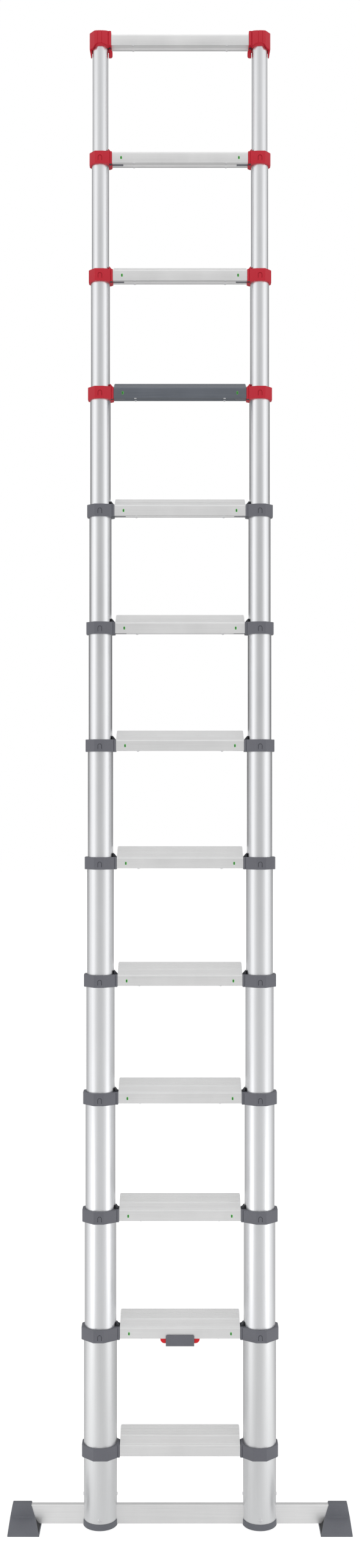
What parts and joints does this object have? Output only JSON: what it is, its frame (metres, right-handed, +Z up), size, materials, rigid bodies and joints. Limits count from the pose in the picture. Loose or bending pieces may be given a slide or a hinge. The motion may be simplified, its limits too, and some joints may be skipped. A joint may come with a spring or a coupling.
{
  "type": "telescoping ladder",
  "caption": "Telescoping ladder of nested round aluminium tubes with deep rungs, moulded collars, one-hand release and a stabiliser bar.",
  "frame": {"origin": "on the floor, midway between the two stabiliser feet and in the plane of the stile axes", "axes": "+Z up the stiles, +X to the right as seen by the climber, -Y toward the climber"},
  "size_m": [0.8664, 0.136, 3.8178],
  "materials": {
    "stile_aluminium": "brushed anodised tube",
    "rung_aluminium": "matt silver anodised extrusion",
    "dark_rung_aluminium": "dark grey anodised extrusion",
    "bar_aluminium": "matt silver anodised box tube",
    "grey_plastic": "fine-textured dark grey moulding",
    "red_plastic": "fine-textured red moulding",
    "tab_red_plastic": "smooth red moulding",
    "pin_steel": "turned steel",
    "foot_rubber": "matt rubber"
  },
  "bodies": {
    "base": {"stile_tube_left_01": "stile_aluminium", "stile_tube_right_01": "stile_aluminium", "tube_foot_left": "foot_rubber", "tube_foot_right": "foot_rubber", "stabiliser_bar": "bar_aluminium", "stabiliser_foot_left": "foot_rubber", "stabiliser_foot_right": "foot_rubber", "rung_01": "rung_aluminium", "collar_pair_01": "grey_plastic", "rung_02": "rung_aluminium", "collar_pair_02": "grey_plastic", "release_cover": "grey_plastic"},
    "stage_02": {"stile_tube_left_02": "stile_aluminium", "stile_tube_right_02": "stile_aluminium", "rung_03": "rung_aluminium", "collar_pair_03": "grey_plastic"},
    "stage_03": {"stile_tube_left_03": "stile_aluminium", "stile_tube_right_03": "stile_aluminium", "rung_04": "rung_aluminium", "collar_pair_04": "grey_plastic"},
    "stage_04": {"stile_tube_left_04": "stile_aluminium", "stile_tube_right_04": "stile_aluminium", "rung_05": "rung_aluminium", "collar_pair_05": "grey_plastic"},
    "stage_05": {"stile_tube_left_05": "stile_aluminium", "stile_tube_right_05": "stile_aluminium", "rung_06": "rung_aluminium", "collar_pair_06": "grey_plastic"},
    "stage_06": {"stile_tube_left_06": "stile_aluminium", "stile_tube_right_06": "stile_aluminium", "rung_07": "rung_aluminium", "collar_pair_07": "grey_plastic"},
    "stage_07": {"stile_tube_left_07": "stile_aluminium", "stile_tube_right_07": "stile_aluminium", "rung_08": "rung_aluminium", "collar_pair_08": "grey_plastic"},
    "stage_08": {"stile_tube_left_08": "stile_aluminium", "stile_tube_right_08": "stile_aluminium", "rung_09": "rung_aluminium", "collar_pair_09": "grey_plastic"},
    "stage_09": {"stile_tube_left_09": "stile_aluminium", "stile_tube_right_09": "stile_aluminium", "rung_10": "dark_rung_aluminium", "collar_pair_10": "red_plastic"},
    "stage_10": {"stile_tube_left_10": "stile_aluminium", "stile_tube_right_10": "stile_aluminium", "rung_11": "rung_aluminium", "collar_pair_11": "red_plastic"},
    "stage_11": {"stile_tube_left_11": "stile_aluminium", "stile_tube_right_11": "stile_aluminium", "rung_12": "rung_aluminium", "collar_pair_12": "red_plastic"},
    "stage_12": {"stile_tube_left_12": "stile_aluminium", "stile_tube_right_12": "stile_aluminium", "rung_13": "rung_aluminium", "top_cap_pair": "red_plastic"},
    "release_left": {"release_slider_left": "tab_red_plastic", "lock_pin_left": "pin_steel"},
    "release_right": {"release_slider_right": "tab_red_plastic", "lock_pin_right": "pin_steel"}
  },
  "joints": [
    {"name": "stage_02_slide", "type": "slide", "parent": "base", "child": "stage_02", "axis": [0, 0, 1], "range_m": [-0.2565, 0]},
    {"name": "stage_03_slide", "type": "slide", "parent": "stage_02", "child": "stage_03", "axis": [0, 0, 1], "range_m": [-0.2565, 0]},
    {"name": "stage_04_slide", "type": "slide", "parent": "stage_03", "child": "stage_04", "axis": [0, 0, 1], "range_m": [-0.2565, 0]},
    {"name": "stage_05_slide", "type": "slide", "parent": "stage_04", "child": "stage_05", "axis": [0, 0, 1], "range_m": [-0.2565, 0]},
    {"name": "stage_06_slide", "type": "slide", "parent": "stage_05", "child": "stage_06", "axis": [0, 0, 1], "range_m": [-0.2565, 0]},
    {"name": "stage_07_slide", "type": "slide", "parent": "stage_06", "child": "stage_07", "axis": [0, 0, 1], "range_m": [-0.2565, 0]},
    {"name": "stage_08_slide", "type": "slide", "parent": "stage_07", "child": "stage_08", "axis": [0, 0, 1], "range_m": [-0.2565, 0]},
    {"name": "stage_09_slide", "type": "slide", "parent": "stage_08", "child": "stage_09", "axis": [0, 0, 1], "range_m": [-0.2565, 0]},
    {"name": "stage_10_slide", "type": "slide", "parent": "stage_09", "child": "stage_10", "axis": [0, 0, 1], "range_m": [-0.2565, 0]},
    {"name": "stage_11_slide", "type": "slide", "parent": "stage_10", "child": "stage_11", "axis": [0, 0, 1], "range_m": [-0.2565, 0]},
    {"name": "stage_12_slide", "type": "slide", "parent": "stage_11", "child": "stage_12", "axis": [0, 0, 1], "range_m": [-0.235, 0]},
    {"name": "release_left_slide", "type": "slide", "parent": "base", "child": "release_left", "axis": [1, 0, 0], "range_m": [0, 0.008], "stiffness_N_per_m": 400},
    {"name": "release_right_slide", "type": "slide", "parent": "base", "child": "release_right", "axis": [-1, 0, 0], "range_m": [0, 0.008], "stiffness_N_per_m": 400}
  ],
  "couplings": [
    {"joint": "release_right_slide", "follows": "release_left_slide", "ratio": 1}
  ]
}
